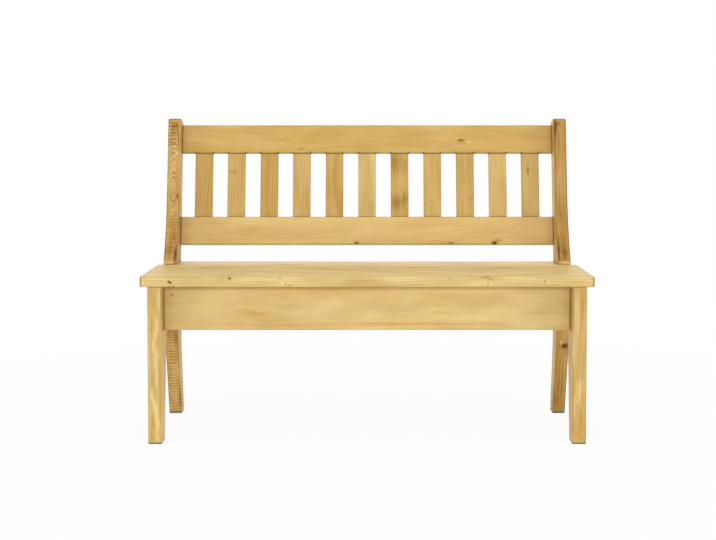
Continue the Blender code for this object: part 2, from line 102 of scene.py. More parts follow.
# %% Sums of sockets
class Term:
    """A socket that can be used in sums."""

    def __init__(self, tree, socket):
        self.tree = tree
        self.socket = socket

    def node(self, kind, settings, sockets, output=0):
        """Any node: its settings first, then a value, a link or a list of links for each socket."""
        made = self.tree.nodes.new(kind)
        for name, setting in settings.items():
            if name == "stops":
                set_stops(made.color_ramp, setting)
            elif name == "interpolation":
                made.color_ramp.interpolation = setting
            else:
                setattr(made, name, setting)
        for key, value in sockets.items():
            for each in value if isinstance(value, list) else [value]:
                if isinstance(each, Term):
                    self.tree.links.new(each.socket, made.inputs[key])
                else:
                    made.inputs[key].default_value = each
        return Term(self.tree, made.outputs[output])

    def math(self, operation, *values):
        return self.node("ShaderNodeMath", {"operation": operation}, dict(enumerate(values)))

    def __add__(self, other):
        return self.math("ADD", self, other)

    def __radd__(self, other):
        return self.math("ADD", other, self)

    def __sub__(self, other):
        return self.math("SUBTRACT", self, other)

    def __rsub__(self, other):
        return self.math("SUBTRACT", other, self)

    def __mul__(self, other):
        return self.math("MULTIPLY", self, other)

    def __truediv__(self, other):
        return self.math("DIVIDE", self, other)

    def __pow__(self, other):
        return self.math("POWER", self, other)


def set_stops(ramp, stops):
    """Colour stops as (place, colour), in order."""
    while len(ramp.elements) < len(stops):
        ramp.elements.new(1.0)
    for element, (place, colour) in zip(ramp.elements, stops):
        element.position = place
        element.color = colour


# %% [markdown]
# A few short names keep the sums readable. Vectors go through Vector Math and colours through Mix, because
# a Math node would turn a colour grey. Map Range with smooth steps makes soft masks, and white noise draws
# a lot for each whole number. Colours are written as a paint chart gives them, from 0 to 255, and turned
# into linear light here.

# %% Shader words
NOISE_MEAN = 0.5


def vector(operation, first, second, output="Vector"):
    return first.node("ShaderNodeVectorMath", {"operation": operation}, {0: first, 1: second}, output)


def dot(first, second):
    return vector("DOT_PRODUCT", first, second, "Value")


def length(place):
    return place.node("ShaderNodeVectorMath", {"operation": "LENGTH"}, {0: place}, "Value")


def as_vector(source, x=0.0, y=0.0, z=0.0):
    """Three numbers or sockets as one vector, in the source's tree."""
    return source.node("ShaderNodeCombineXYZ", {}, {0: x, 1: y, 2: z})


def brighten(colour, factor):
    return colour.node("ShaderNodeVectorMath", {"operation": "SCALE"}, {0: colour, "Scale": factor})


def tint(factor, under, over, blend="MIX"):
    settings = {"data_type": "RGBA", "blend_type": blend}
    return factor.node("ShaderNodeMix", settings, {0: factor, 6: under, 7: over}, 2)


def larger(first, second):
    return first.math("MAXIMUM", first, second)


def unsigned(value):
    return value.math("ABSOLUTE", value)


def nearest(value):
    """The nearest whole number."""
    return value.math("ROUND", value)


def lot(number, output="Value"):
    """A random draw for each whole number."""
    return number.node("ShaderNodeTexWhiteNoise", {"noise_dimensions": "1D"}, {"W": number}, output)


def rise(value, low, high):
    """0 below low, 1 above high, smooth between."""
    sockets = {"Value": value, "From Min": low, "From Max": high}
    return value.node("ShaderNodeMapRange", {"interpolation_type": "SMOOTHSTEP"}, sockets)


def fall(value, low, high):
    """1 below low, 0 above high, smooth between."""
    return 1 - rise(value, low, high)


def noise(place, cells, detail=2.0, output="Fac"):
    """Soft noise with its own number of cells to the metre along each axis."""
    stretched = vector("MULTIPLY", place, cells)
    sockets = {"Vector": stretched, "Scale": 1.0, "Detail": detail}
    return place.node("ShaderNodeTexNoise", {}, sockets, output)


def sway(place, cells, detail=2.0):
    """The same noise, about 0."""
    return noise(place, cells, detail) - NOISE_MEAN


def linear(red, green, blue):
    """A colour from 0 to 255 as linear light, by the sRGB curve."""
    shares = [channel / 255 for channel in (red, green, blue)]
    return (*[s / 12.92 if s <= 0.04045 else ((s + 0.055) / 1.055) ** 2.4 for s in shares], 1.0)


# %% [markdown]
# Pine grows a ring each year: pale soft wood in spring, then a darker band that ends sharply in autumn. A
# board is a slice through those rings, so the pattern on every face follows from where the heart of the
# tree, the pith, lay beside the board. The shader measures each point's distance from that line. A slow
# noise bends the trunk, and a random strength for each year keeps the rings from looking ruled.

# %% Growth rings
CREAM_PINE = linear(235, 207, 145)
HONEY_PINE = linear(198, 160, 91)
BEND_CELLS = (2.6, 2.6, 1.3)
RIPPLE_CELLS = (80.0, 80.0, 8.0)
PATCH_CELLS = (45.0, 45.0, 14.0)
PATCH_EDGES = (0.30, 0.62)
BAND_START = (0.25, 0.86)
BAND_END = (0.92, 1.0)
FAINTEST = 0.35
SPREAD = 1 - FAINTEST


def ring_frame(place, grain, pith, slide):
    """Coordinates about the pith: two across the grain, then one along it."""
    turn = Vector((0.0, 0.0, 1.0)).rotation_difference(grain).to_euler()
    start = pith + grain * slide
    sockets = {"Vector": place, "Location": start, "Rotation": turn}
    return place.node("ShaderNodeMapping", {"vector_type": "TEXTURE"}, sockets)


def growth(local, wander, bulge):
    """Distance from the pith, with the trunk's slow bends and the bulge round knots."""
    drift = noise(local, BEND_CELLS, 1.0, "Color")
    drift = vector("SUBTRACT", drift, (NOISE_MEAN, NOISE_MEAN, NOISE_MEAN))
    bent = vector("ADD", local, vector("MULTIPLY", drift, (wander, wander, 0.0)))
    return length(vector("MULTIPLY", bent, (1.0, 1.0, 0.0))) + bulge


def late_wood(local, radius, rings, ripple):
    """The dark part of each ring, from 0 to 1."""
    year = radius * rings + sway(local, RIPPLE_CELLS, 3.0) * ripple
    part = year.math("FRACT", year)
    strength = lot(year.math("FLOOR", year))
    band = rise(part, *BAND_START) * fall(part, *BAND_END)
    patch = rise(noise(local, PATCH_CELLS), *PATCH_EDGES)
    return band * (FAINTEST + strength * SPREAD) * (FAINTEST + patch * SPREAD)


# %% [markdown]
# A knot is the root of a branch: a short dark cylinder that runs outwards through the board, with the grain
# flowing round it. Each one is placed where the real board has it. Its mask is the distance from
# the branch's own line, as a share of the knot's size, and the same distance pushes the rings aside. Stains
# and pale flames are measured in the same way, only softer and with no heart, and they reach just a little
# way into the board. Each board lists its marks in rows, and a function finds them on its face.

# %% Knots, stains and flames
Mark = namedtuple("Mark", "place axis wide long depth")
KNOT_STOPS = [
    (0.00, linear(126, 76, 26)),
    (0.45, linear(92, 53, 16)),
    (0.80, linear(62, 36, 11)),
    (1.00, linear(118, 76, 28)),
]
KNOT_EDGE = (0.6, 1.2)
KNOT_FLOW = 3.6
FLOW_START = 0.5
FLOW_SHARE = 0.45
FLAME_EDGE = (0.2, 1.0)
STAIN_EDGE = (0.0, 1.0)
MARK_DEPTH = 0.025
MM = 0.001
STAIN_TINT = (0.60, 0.43, 0.20, 1.0)
AMBER_TINT = (0.93, 0.79, 0.54, 1.0)


def marks(face, rows):
    """Marks from rows: the place on the face and half the width and length, in mm, then the depth."""
    made = []
    for *sizes, depth in rows:
        first, second, wide, long = [size * MM for size in sizes]
        made.append(Mark(*face(first, second), wide, long, depth))
    return made


def figure(face, **kinds):
    """All the marks of one face, by their kind."""
    return {kind: marks(face, rows) for kind, rows in kinds.items()}


def reach(place, mark, grain, ragged, deep=None):
    """Distance from a mark's line, or from its middle if it has a depth, as a share of its size."""
    apart = vector("SUBTRACT", place, mark.place)
    axis = Vector(mark.axis).normalized()
    ways = [(grain, mark.long), (grain.cross(axis).normalized(), mark.wide)]
    if deep:
        ways.append((axis, deep))
    total = 0.0
    for way, size in ways:
        share = dot(apart, way) / size
        total = share * share + total
    return total ** 0.5 + ragged


def add_knots(colour, reaches, knots):
    """The knots' own wood over the board's colour, and the darker grain that flows past them."""
    for span, knot in zip(reaches, knots):
        flow = fall(span, FLOW_START, KNOT_FLOW)
        colour = tint(flow * flow * (FLOW_SHARE * knot.depth), colour, STAIN_TINT, "MULTIPLY")
        heart = span.node("ShaderNodeValToRGB", {"stops": KNOT_STOPS}, {"Fac": span}, "Color")
        colour = tint(fall(span, *KNOT_EDGE) * knot.depth, colour, heart)
    return colour


def add_marks(colour, place, grain, ragged, look):
    """Cream flames, and soft brown stains over them."""
    for flame in look.flames:
        soft = fall(reach(place, flame, grain, ragged, MARK_DEPTH), *FLAME_EDGE)
        colour = tint(soft * flame.depth, colour, CREAM_PINE)
    for stain in look.stains:
        soft = fall(reach(place, stain, grain, ragged, MARK_DEPTH), *STAIN_EDGE)
        colour = tint(soft * stain.depth, colour, look.stain_tint, "MULTIPLY")
    return colour


# %% [markdown]
# Where two boards meet, a fine dark line is painted: partly wax and dirt in the joint, partly painted shade
# in the corner. The same masks paint shade under overhangs, in deep corners and along some edges. A seam
# is a plane in space, given by its direction, its distance and how far its line reaches, and the shader
# darkens what lies close to it.

# %% Seams: joint lines and painted shade
JOINT_SHADE_TINT = (0.34, 0.24, 0.13, 1.0)


def seams(*planes):
    """A function that makes the mask of some joint lines and painted shade from a place."""
    def mask(place):
        total = None
        for direction, distance, width in planes:
            near = fall(unsigned(dot(place, direction) - distance), 0.0, width)
            total = near if total is None else larger(total, near)
        return total
    return mask


# %% [markdown]
# The wax soaks deep into end grain, which therefore turns brown. That is why the rear posts are darker in
# front: their swept edges cut across the grain. The rounded arrises are greyed as painted shade along the
# edges, least on the inner sides of posts and legs, and a line of painted contact shadow runs round each
# sole.

# %% Soak and painted edge shade
UP = (0.0, 0.0, 1.0)
ALONG = (1.0, 0.0, 0.0)
DEEP = (0.0, 1.0, 0.0)
FRONTAL = (0.0, -1.0, 0.0)
OBLIQUE_CUT = (0.02, 0.20)
END_CUT = (0.35, 0.90)
SOAK_TINT = (0.62, 0.47, 0.24, 1.0)
OUTWARD = (-0.1, 0.1)
GREY_TINT = (0.44, 0.40, 0.30, 1.0)
SOLE_SHADE_TINT = (0.30, 0.32, 0.40, 1.0)
SOLE_SHADE_SHARE = 0.9
JOINT_SHADE_SHARE = 0.85


def soak(colour, normal, grain, look):
    """Wax drawn into oblique and end grain."""
    cut = unsigned(dot(normal, grain))
    soaked = larger(rise(cut, *OBLIQUE_CUT) * look.soak, rise(cut, *END_CUT))
    return tint(soaked, colour, SOAK_TINT, "MULTIPLY")


def edge_and_joint_shade(colour, place, normal, look):
    """Painted shade on the arrises and round the soles, and dark joint lines, partly wax and partly painted
    shade.
    """
    edge_shade = place.node("ShaderNodeAttribute", {"attribute_name": "arris"}, {}, "Fac")
    if look.inner_edge < 1:
        outward = rise(dot(place, ALONG) * dot(normal, ALONG), *OUTWARD)
        edge_shade = edge_shade * (outward * (1 - look.inner_edge) + look.inner_edge)
    colour = tint(edge_shade * look.edge, colour, GREY_TINT, "MULTIPLY")
    if look.sole:
        colour = tint(fall(dot(place, UP), 0.0, look.sole) * SOLE_SHADE_SHARE, colour, SOLE_SHADE_TINT, "MULTIPLY")
    if look.seams:
        colour = tint(look.seams(place) * JOINT_SHADE_SHARE, colour, look.seam_tint, "MULTIPLY")
    return colour


# %% [markdown]
# No two boards are alike, but they differ in only a few ways. Each way has a name and a usual value here, so
# that a board need say only what is its own.

# %% The look of a board
PLAIN = {
    "honey": 0.4,  # from cream, 0, to the full colour of the wax, 1
    "tone": 1.0,  # brightness of the whole board
    "rings": 320.0,  # rings to the metre
    "contrast": 0.15,  # darkness of the late wood
    "ripple": 0.5,  # how unsteady each ring's line is
    "wander": 0.012,  # how far the trunk bends, in metres
    "slide": 0.0,  # the stretch of trunk that the board comes from
    "cloud": 0.7,  # strength of the slow patches of colour
    "cells": (26.0, 26.0, 6.0),  # their number to the metre, across and along the grain
    "streak": 1.1,  # strength of the streaks along the grain
    "fine": (190.0, 190.0, 7.0),  # their number to the metre
    "soak": 0.8,  # how dark oblique grain turns
    "edge": 0.22,  # how grey the rounded arrises are painted, as shade along the edges
    "inner_edge": 1.0,  # the share of that on arrises that face the bench's middle
    "sole": 0.0,  # height of the painted contact shadow round a foot, in metres
    "knots": (),
    "stains": (),
    "stain_tint": STAIN_TINT,
    "flames": (),
    "seams": None,
    "seam_tint": JOINT_SHADE_TINT,
    "row": None,  # for a row of slats: their pitch and each one's honey
    "step": None,  # for a board from two parts of the trunk: the height between them and the way over
}
print("a board's look has", len(PLAIN), "values")

# %% [markdown]
# The finish is a honey-coloured wax with a soft sheen. Slow clouds, streaks along the grain and fine fibre
# vary its colour, and the rings stand a hair proud, which a Bump node is enough for. A row of slats shares
# one material, so pick finds which slat a point is on.

# %% The pine finish
LATE_TINT = (0.52, 0.38, 0.20, 1.0)
YELLOW_TINT = (0.95, 1.0, 0.84, 1.0)
YELLOW_CELLS = (38.0, 38.0, 9.0)
YELLOW_EDGES = (0.42, 0.66)
YELLOW_SHARE = 0.6
FIBRE_CELLS = (640.0, 640.0, 18.0)
FIBRE_SHADE = 0.24
STREAK_SHADE = 0.35
CLOUD_SHARE = 1.2
RAGGED_STREAKS = 2.0
RAGGED_CLOUDS = 1.2
WOBBLE_CELLS = (300.0, 300.0, 300.0)
WOBBLE = 1.6
BULGE = 1.5
STEP_SOFTNESS = 0.004
SLAT_SHIFT = (0.03, 0.05, 9.0)
RAMP_MIDDLE = 0.5
ROUGHNESS = 0.52
SMOOTH_RINGS = 0.08
ROUGH_FIBRE = 0.14
SPECULAR = 0.15
RELIEF = 0.0004
RELIEF_SHARE = 0.5
RELIEF_STRENGTH = 0.35


def pick(place, pitch, depths):
    """For slats about X = 0: a shift to each slat's own part of the tree, and its depth of colour."""
    number = nearest(dot(place, ALONG) / pitch)
    step = 1 / len(depths)
    stops = [(i * step, (depth, depth, depth, 1.0)) for i, depth in enumerate(depths)]
    settings = {"stops": stops, "interpolation": "CONSTANT"}
    honey = number.node("ShaderNodeValToRGB", settings, {"Fac": number * step + RAMP_MIDDLE}, "Color")
    return vector("MULTIPLY", lot(number, "Color"), SLAT_SHIFT), honey


def bare_material(name):
    """A new material, its shader, and the place of each point."""
    material = bpy.data.materials.new(name)
    material.use_nodes = True
    tree = material.node_tree
    place = Term(tree, tree.nodes.new("ShaderNodeTexCoord").outputs["Object"])
    return material, tree.nodes["Principled BSDF"], place


def feed(node, name, term):
    term.tree.links.new(term.socket, node.inputs[name])


def pine(name, grain, pith, **own):
    """Waxed pine for one board, sawn from a tree whose pith runs through a point along the grain."""
    look = SimpleNamespace(**{**PLAIN, **own})
    material, shader, place = bare_material(name)
    normal = Term(place.tree, place.tree.nodes.new("ShaderNodeNewGeometry").outputs["Normal"])
    grain = Vector(grain).normalized()
    sawn = place
    honey = look.honey
    if look.row:
        shift, honey = pick(place, *look.row)
        sawn = vector("ADD", place, shift)
    if look.step:
        height, over = look.step
        above = rise(dot(place, grain), height - STEP_SOFTNESS, height + STEP_SOFTNESS)
        sawn = vector("ADD", place, brighten(as_vector(place, *over), above))
    local = ring_frame(sawn, grain, Vector(pith), look.slide)
    fibre = sway(local, FIBRE_CELLS)
    streaks = sway(local, look.fine, 3.0)
    clouds = sway(local, look.cells)
    wobble = sway(place, WOBBLE_CELLS) * WOBBLE
    reaches = [reach(place, knot, grain, wobble) for knot in look.knots]
    bulge = 0.0
    for span, knot in zip(reaches, look.knots):
        bulge = fall(span, 0.0, KNOT_FLOW) * (knot.wide * BULGE) + bulge
    late = late_wood(local, growth(local, look.wander, bulge), look.rings, look.ripple)

    depth = clouds * (CLOUD_SHARE * look.cloud) + streaks * look.streak + honey
    colour = tint(depth, CREAM_PINE, HONEY_PINE)
    yellow = rise(noise(local, YELLOW_CELLS, 1.0), *YELLOW_EDGES)
    colour = tint(yellow * YELLOW_SHARE, colour, YELLOW_TINT, "MULTIPLY")
    colour = tint(late * look.contrast, colour, LATE_TINT, "MULTIPLY")
    colour = brighten(colour, fibre * FIBRE_SHADE + streaks * (STREAK_SHADE * look.streak) + look.tone)
    colour = soak(colour, normal, grain, look)
    colour = add_marks(colour, place, grain, streaks * RAGGED_STREAKS + clouds * RAGGED_CLOUDS, look)
    colour = add_knots(colour, reaches, look.knots)
    colour = edge_and_joint_shade(colour, place, normal, look)

    height = late * RELIEF_SHARE + fibre * RELIEF_SHARE
    relief = {"Height": height, "Distance": RELIEF, "Strength": RELIEF_STRENGTH}
    shader.inputs["Specular IOR Level"].default_value = SPECULAR
    feed(shader, "Base Color", colour)
    feed(shader, "Roughness", ROUGHNESS - late * SMOOTH_RINGS + fibre * ROUGH_FIBRE)
    feed(shader, "Normal", place.node("ShaderNodeBump", {}, relief, "Normal"))
    return material


# %% [markdown]
# The frame's boards have their arrises rounded already, but their meshes are loose triangles with flat
# shading. Each copy is welded, its flat triangles are joined into whole faces, and it is shaded smooth
# wherever two faces meet at a shallow angle. Weighted normals then keep the broad faces flat and let only
# the narrow rounded strips catch the light. Those strips are also marked, so that the finish can grey them
# with painted shade along the edges.

# %% Dressing a board
WELD = 0.00002
FLAT_ANGLE = math.radians(0.3)
SMOOTH_ANGLE = math.radians(50.0)
ARRIS_WIDTH = 0.0035


def soften(mesh):
    """Smooth shading across rounded edges, and a mark on the narrow faces that round them."""
    bm = bmesh.new()
    bm.from_mesh(mesh)
    bmesh.ops.remove_doubles(bm, verts=bm.verts, dist=WELD)
    bmesh.ops.dissolve_limit(bm, angle_limit=FLAT_ANGLE, verts=bm.verts, edges=bm.edges)
    mark = bm.faces.layers.float.new("arris")
    for face in bm.faces:
        face.smooth = True
        longest = max(edge.calc_length() for edge in face.edges)
        face[mark] = 1.0 if face.calc_area() / longest < ARRIS_WIDTH else 0.0
    for edge in bm.edges:
        edge.smooth = edge.calc_face_angle(math.pi) < SMOOTH_ANGLE
    bm.to_mesh(mesh)
    bm.free()


def add_piece(name, mesh, material, replaced):
    """A finished piece in place of solids of the frame."""
    mesh.materials.clear()
    mesh.materials.append(material)
    piece = put(name, mesh)
    weights = piece.modifiers.new("weights", "WEIGHTED_NORMAL")
    weights.keep_sharp = True
    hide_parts(*replaced)
    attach(piece, "root")


def dress(node, material):
    """A softened copy of one of the frame's boards."""
    mesh = solids[node].data.copy()
    mesh.name = node
    soften(mesh)
    add_piece(node + "_board", mesh, material, [node])
    print(node + "_board", len(mesh.polygons), "faces")


# %% [markdown]
# Marks and joints are placed by the frame itself, so a few of its places are measured first: the levels of
# the seat, the sides of the posts and legs, and how far a solid reaches along the lean of the back.

# %% Places on the frame
BACK_LEAN = math.radians(11.0)
LEAN_UP = Vector((0.0, math.sin(BACK_LEAN), math.cos(BACK_LEAN)))
BACK_NORMAL = Vector((0.0, -math.cos(BACK_LEAN), math.sin(BACK_LEAN)))
SIDE_EDGE = (0.001, 0.004)


def middle(node):
    low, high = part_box(node)
    return (low + high) / 2


def extent(node, direction):
    """From where to where a solid reaches in some direction."""
    steps = [direction.dot(vertex.co) for vertex in solids[node].data.vertices]
    return min(steps), max(steps)


seat_low, seat_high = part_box("seat_board_1")
post_low, post_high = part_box("rear_post_left")
apron_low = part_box("front_apron")[0]
inner_x = -post_high.x
post_x = -middle("rear_post_left").x
rail_back, rail_front = extent("crest_rail", BACK_NORMAL)


def inner_side(place):
    """1 on the sides of posts and legs that face the bench's middle."""
    return fall(unsigned(dot(place, ALONG)), *[inner_x + step for step in SIDE_EDGE])


print("seat from", round(seat_low.z, 4), "to", round(seat_high.z, 4), "and posts from", round(inner_x, 4))

# %% [markdown]
# The seat is notched round the rear posts, and the two rails meet their inner sides. Both get dark lines,
# partly painted shade, but only where the boards really touch: the seat's line stops behind the seat, and
# the corners get painted shade only as high as each rail.

# %% Joints of the posts
SEAT_LINE = 0.005
NOTCH_FRONT = (0.004, 0.012)
EDGE_SOFTNESS = 0.004
CORNER_REACH = 0.060
CORNER_SHADE = 0.7
seat_line = seams((UP, seat_high.z, SEAT_LINE))
seat_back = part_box("seat_board_3")[1].y


def post_joint_shade(place):
    """The seat's notch line, and painted shade in the corners of the posts' inner sides with the two rails.
    """
    inner = inner_side(place)
    behind = dot(place, DEEP)
    front = fall(behind, *[post_low.y + step for step in NOTCH_FRONT])
    notch = larger(front, inner * fall(behind, seat_back, seat_back + EDGE_SOFTNESS))
    corner = inner * fall(dot(place, BACK_NORMAL), rail_front, rail_front + CORNER_REACH)
    up = dot(place, LEAN_UP)
    beside = 0.0
    for rail in ("crest_rail", "lower_back_rail"):
        low, high = extent(rail, LEAN_UP)
        above = rise(up, low - EDGE_SOFTNESS, low + EDGE_SOFTNESS)
        beside = above * fall(up, high - EDGE_SOFTNESS, high + EDGE_SOFTNESS) + beside
    return larger(seat_line(place) * notch, corner * beside * CORNER_SHADE)


# %% [markdown]
# Each rear post is one plank, sawn to its sweep with the grain upright. The left one looks like two parts
# of a trunk, and the change between them lies level with the seat, which hides it from the front. Below,
# the pith lay just in front of the plank, so the raked leg cuts through ring after ring, bent into
# chevrons. Above, it lay within the plank, and the sweep opens the rings into a long eye. The right post's
# pith lay beside it, so its rings run down the front as streaks. A pale band is painted across each post
# just above the seat. Low on the left leg, a broad stain just under the apron is painted shadow, and a
# faint broad flame lower down is painted light.

# %% Rear posts
SOLE = 0.0105
POST_LOOK = {"rings": 330.0, "fine": (130.0, 40.0, 4.0), "seams": post_joint_shade, "sole": SOLE}
RAY_START = -2.0


def post_front(x, z):
    """A spot on the swept front of a post, which a ray from the front finds."""
    post = solids["rear_post_left" if x < 0 else "rear_post_right"]
    _, spot, normal, _ = post.ray_cast(Vector((x, RAY_START, z)), Vector(DEEP))
    return spot, normal


leg_pith = Vector((-post_x - 0.002, post_low.y - 0.004, 0.0))
back_pith = Vector((-post_x + 0.001, post_low.y + 0.083, 0.0))
band_heights = (856.0, 845.5, 834.6, 825.7, 818.1, 807.4, 800.4, 792.7)
top_bands = [(-570, height, 22, 4, 1.0) for height in band_heights]
left_pine = pine(
    "pine_post_left", UP, leg_pith, **POST_LOOK, honey=0.48, contrast=1.5, ripple=2.2, wander=0.006,
    soak=0.34, streak=1.8, edge=0.55, inner_edge=0.3, step=(seat_low.z, leg_pith - back_pith),
    **figure(post_front, knots=[(-552, 642, 2.2, 7, 0.8)], stains=[
        (-550.5, 470, 6, 34, 1.0), (-552, 800, 2.2, 55, 1.0), (-560, 850, 14, 12, 0.8),
        (-553, 520, 10, 60, 0.7), (-564, 500, 24, 34, 0.6), (-554.5, 720, 2.2, 50, 0.7),
        (-549, 230, 7, 70, 0.6), (-549, 50, 4, 50, 0.9), (-564, 550, 24, 60, 0.45),
        (-569, 484, 18, 16, 0.5), (-566, 843.5, 22, 22, 1.0), (-566, 822, 22, 30, 0.5),
        # the broad stain at 270 mm, just under the apron, is painted shadow
        (-562, 270, 26, 70, 0.55), *top_bands,
    ], flames=[
        (-564.5, 454.5, 60, 8, 0.6), (-556, 768, 6, 12, 0.7), (-566, 822, 40, 55, 0.25),
        # the faint broad flame at 135 mm is painted light on the leg under the seat
        (-562, 135, 30, 55, 0.15),
    ]))
right_pine = pine(
    "pine_post_right", UP, (post_x + 0.085, leg_front + 0.395, 0.0), **POST_LOOK, honey=0.6, contrast=0.8,
    slide=3.0, soak=0.65, streak=3.4, edge=0.9, inner_edge=0.25,
    **figure(post_front, knots=[(571.6, 211, 9.4, 7, 1.0)], stains=[
        (551, 490, 6, 60, 1.0), (551.2, 480, 4, 30, 1.0), (566, 495, 12, 60, 0.65),
        (567, 480, 10, 22, 0.7), (550.5, 740, 4, 200, 0.9), (570, 720, 2.5, 120, 0.6),
        (560, 640, 3, 90, 0.6), (560, 854, 10, 8, 0.8), (551.5, 842, 6, 24, 0.9),
        (566, 545, 22, 70, 0.3), (578.5, 740, 3, 200, 0.4), (560, 790, 6, 60, 0.5),
        (556, 40, 30, 60, 0.6), (560, 120, 3, 90, 0.7), (569, 110, 3, 70, 0.7),
        (552, 150, 3, 120, 0.7), (563, 597, 24, 60, 0.3),
    ], flames=[
        (564.5, 454.5, 60, 8, 0.8), (562, 220.5, 12, 12, 0.5), (562, 695, 30, 80, 0.15),
    ]))
dress("rear_post_left", left_pine)
dress("rear_post_right", right_pine)

# %% [markdown]
# The front legs are sawn flat: the front face lies along the rings, so a pale spring band wanders down the
# left one, and opens into a flame low on the right one. The face follows the trunk too closely for the
# rings alone to place them, so the bands are laid as marks, with amber beside them. The corner that each
# leg makes with the apron gets painted shade, and a thin painted highlight lies close above each sole.

# %% Front legs
LEG_SEAM = 0.006
APRON_EDGE = 0.003
CORNER_FROM = 0.020
LEG_CORNER_SHADE = 0.55
FOOT_HIGHLIGHT = (6.5, 30, 3.5, 0.6)
seat_joint = seams((UP, seat_low.z, LEG_SEAM))


def leg_joint_shade(place):
    """A dark line at the seat, and painted shade in the corner that a leg's inner side makes with the apron.
    """
    above = rise(dot(place, UP), apron_low.z - APRON_EDGE, apron_low.z + APRON_EDGE)
    corner = inner_side(place) * above * rise(dot(place, DEEP), leg_front - CORNER_FROM, apron_low.y)
    return larger(seat_joint(place), corner * LEG_CORNER_SHADE)


def leg_face(x, z):
    return (x, leg_front, z), FRONTAL


LEG_LOOK = {"inner_edge": 0.4, "seams": leg_joint_shade, "sole": SOLE, "stain_tint": AMBER_TINT}
left_leg_pine = pine(
    "pine_leg_left", UP, (-post_x + 0.004, leg_front + 0.060, 0.0), honey=0.66, rings=250.0, contrast=0.3,
    wander=0.022, slide=1.3, streak=1.4, **LEG_LOOK, **figure(leg_face, flames=[
        (-552.6, 386, 5, 46, 0.75), (-557.9, 320, 4.6, 27, 0.8), (-562.8, 290, 4.6, 20, 0.85),
        (-566.3, 261, 5.6, 27, 0.85), (-561.5, 221, 8, 33, 0.6), (-559.2, 178, 5.6, 30, 0.75),
        (-572.9, 130, 5.6, 22, 0.8), (-566.4, 108, 5.6, 22, 0.85), (-559.9, 84, 5.6, 24, 0.85),
        (-556.2, 52, 5, 27, 0.75), (-557.8, 17, 6.6, 15, 0.6), (-post_x / MM, *FOOT_HIGHLIGHT),
    ], stains=[
        (-565.3, 378, 8, 44, 0.9), (-575.5, 373, 3.4, 10, 1.0), (-571.4, 320, 6.6, 36, 0.8),
        (-560.3, 272, 3, 14, 1.0), (-552.4, 274, 4.6, 30, 0.9), (-550.6, 186, 4, 75, 0.9),
        (-571.2, 170, 5.6, 25, 0.8), (-549.1, 106, 3.4, 42, 0.8), (-570, 55, 6.6, 28, 1.0),
        (-572.4, 21, 5.6, 12, 1.0),
    ]))
right_leg_pine = pine(
    "pine_leg_right", UP, (post_x + 0.020, leg_front + 0.070, 0.0), honey=0.85, rings=270.0, contrast=0.25,
    wander=0.026, slide=7.7, streak=1.0, **LEG_LOOK, **figure(leg_face, flames=[
        (557.8, 360, 7, 62, 0.45), (548, 253, 3.6, 85, 0.5), (565, 152, 13, 32, 0.7),
        (562.5, 126, 12, 32, 0.5), (551.2, 106, 4.6, 45, 0.65), (post_x / MM, *FOOT_HIGHLIGHT),
    ], stains=[
        (572.5, 378, 4, 46, 1.0), (570, 350, 2, 50, 1.0), (563.8, 373, 3.4, 16, 0.6),
        (556, 140, 2.4, 34, 0.9), (568.8, 71, 9, 42, 1.0), (547, 44, 4, 18, 1.0),
        (547, 36, 2.6, 12, 1.0), (562, 30, 10, 18, 0.7),
    ]))
dress("front_leg_left", left_leg_pine)
dress("front_leg_right", right_leg_pine)

# %% [markdown]
# The rails of the back lie along the bench, with a small knot here and there. Their pith lay far behind
# them, so the rings show as long quiet lines. The slats stand in housings in the rails. Under the crest
# rail the corners of the housings stay a little open, and dots of painted shade stand for them, some
# stronger than others.

# %% Back rails
RAIL_SEAM = 0.005
DOT_EDGE = (0.0018, 0.0042)
DOT_HEIGHT = (0.002, 0.006)
ROW_END = (0.035, 0.036)
FAINTEST_DOT = 0.65
crest_mid = middle("crest_rail")
lower_mid = middle("lower_back_rail")
# dark lines where the rails meet the posts, partly painted shade
rail_joint_shade = seams((ALONG, -inner_x, RAIL_SEAM), (ALONG, inner_x, RAIL_SEAM))
slat_nodes = [name for name in solids if name.startswith("back_slat_")]
slat_centres = sorted(middle(name).x for name in slat_nodes)
slat_pitch = (slat_centres[-1] - slat_centres[0]) / (len(slat_nodes) - 1)
slat_low, slat_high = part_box("back_slat_06")
slat_width = slat_high.x - slat_low.x
crest_under = extent("crest_rail", LEAN_UP)[0]
lower_top = extent("lower_back_rail", LEAN_UP)[1]


def crest_joint_shade(place):
    """Dark lines at the rail's ends, and dots of painted shade in the small open corners of the housings."""
    across = dot(place, ALONG)
    aside = across - nearest(across / slat_pitch) * slat_pitch
    off = unsigned(aside) - slat_width / 2
    inside = fall(unsigned(across), *[slat_centres[-1] + step for step in ROW_END])
    low = fall(dot(place, LEAN_UP), *[crest_under + step for step in DOT_HEIGHT])
    chance = lot(nearest(across / slat_width))
    shade_dots = fall(unsigned(off), *DOT_EDGE) * low * inside * (FAINTEST_DOT + chance * (1 - FAINTEST_DOT))
    return larger(shade_dots, rail_joint_shade(place))


def rail_face(mid):
    """A function that finds a spot on the front of a rail of the back."""
    def face(x, z):
        return Vector((x, mid.y, z)) + BACK_NORMAL * (rail_front - rail_back) / 2, BACK_NORMAL
    return face


